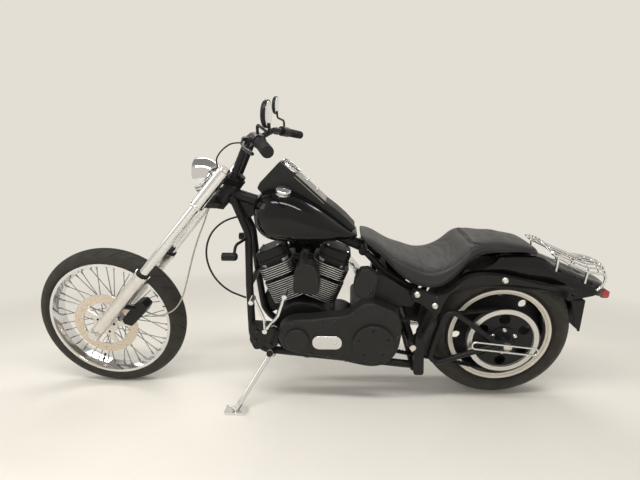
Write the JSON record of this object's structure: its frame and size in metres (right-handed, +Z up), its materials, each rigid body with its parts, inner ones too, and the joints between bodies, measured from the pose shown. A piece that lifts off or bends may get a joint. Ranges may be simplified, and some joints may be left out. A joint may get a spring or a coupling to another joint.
{
  "type": "motorcycle",
  "caption": "Chopper motorcycle with a long raked fork, spoked front wheel, wide rear tyre, finned V-twin engine and belt drive, leaning on its side stand",
  "frame": {"origin": "centre of the bounding box on the floor, with the motorcycle leaning 15 degrees to its left on its side stand", "axes": "x runs from the front wheel back to the tail, y to the motorcycle's right, z up"},
  "size_m": [2.5369, 0.8992, 1.3927],
  "materials": {
    "frame_black": "satin",
    "gloss_black": "gloss",
    "engine_black": "satin",
    "chrome": "polished",
    "aluminium": "satin",
    "disc_steel": "brushed",
    "steel": "brushed",
    "tyre": "matt",
    "rubber": "matt",
    "leather": "satin",
    "lens": "clear",
    "red_lens": "gloss",
    "dial": "gloss"
  },
  "bodies": {
    "root": {"frame_backbone": "frame_black", "frame_cradle": "frame_black", "frame_rear": "frame_black", "swingarm": "frame_black", "pivot_bolt": "steel", "rear_axle": "chrome", "rear_caliper": "frame_black", "fender_struts": "frame_black", "rear_fender": "gloss_black", "luggage_rack": "chrome", "tail_lamp": "red_lens", "plate_bracket": "frame_black", "fuel_tank": "gloss_black", "console": "frame_black", "speedometer": "dial", "fuel_caps": "chrome", "seat": "leather", "crankcase": "engine_black", "cylinders": "engine_black", "cylinder_heads": "engine_black", "pushrod_tubes": "chrome", "air_cleaner": "frame_black", "exhaust": "chrome", "primary_cover": "frame_black", "derby_cover": "frame_black", "inspection_cover": "chrome", "transmission": "engine_black", "drive_belt": "rubber", "horn_cover": "frame_black", "coil_cover": "frame_black", "oil_tank": "frame_black", "foot_controls": "rubber", "foot_levers": "chrome", "passenger_pegs": "rubber", "turn_signals": "frame_black", "belt_guard_loop": "chrome", "stand_bracket": "frame_black", "clutch_cable": "rubber"},
    "steering": {"triple_trees": "frame_black", "fork_tubes": "chrome", "fork_sliders": "aluminium", "front_axle": "chrome", "front_caliper": "frame_black", "headlight": "chrome", "headlight_lens": "lens", "handlebar": "frame_black", "grips": "rubber", "hand_controls": "frame_black", "mirrors": "chrome", "brake_hose": "rubber", "control_cable": "rubber"},
    "front_wheel": {"front_tyre": "tyre", "front_rim": "chrome", "front_hub": "steel", "front_disc": "disc_steel"},
    "rear_wheel": {"rear_tyre": "tyre", "rear_rim": "frame_black", "rear_pulley": "aluminium", "rear_disc": "disc_steel"},
    "side_stand": {"side_stand": "chrome"}
  },
  "joints": [
    {"name": "steering", "type": "hinge", "parent": "root", "child": "steering", "pos_m": [-0.32416, 0.01907, 0.91652], "axis": [0.6626, -0.1938, 0.7234], "range_deg": [-30, 30]},
    {"name": "front_wheel_spin", "type": "hinge", "parent": "steering", "child": "front_wheel", "pos_m": [-0.9255, 0.17546, 0.33288], "axis": [0, 0.9659, 0.2588], "continuous": true},
    {"name": "rear_wheel_spin", "type": "hinge", "parent": "root", "child": "rear_wheel", "pos_m": [0.8345, 0.17931, 0.3185], "axis": [0, 0.9659, 0.2588], "continuous": true},
    {"name": "stand_fold", "type": "hinge", "parent": "root", "child": "side_stand", "pos_m": [-0.1505, 0.04364, 0.2221], "axis": [-0.1549, -0.9216, 0.3558], "range_deg": [0, 101.95]}
  ]
}
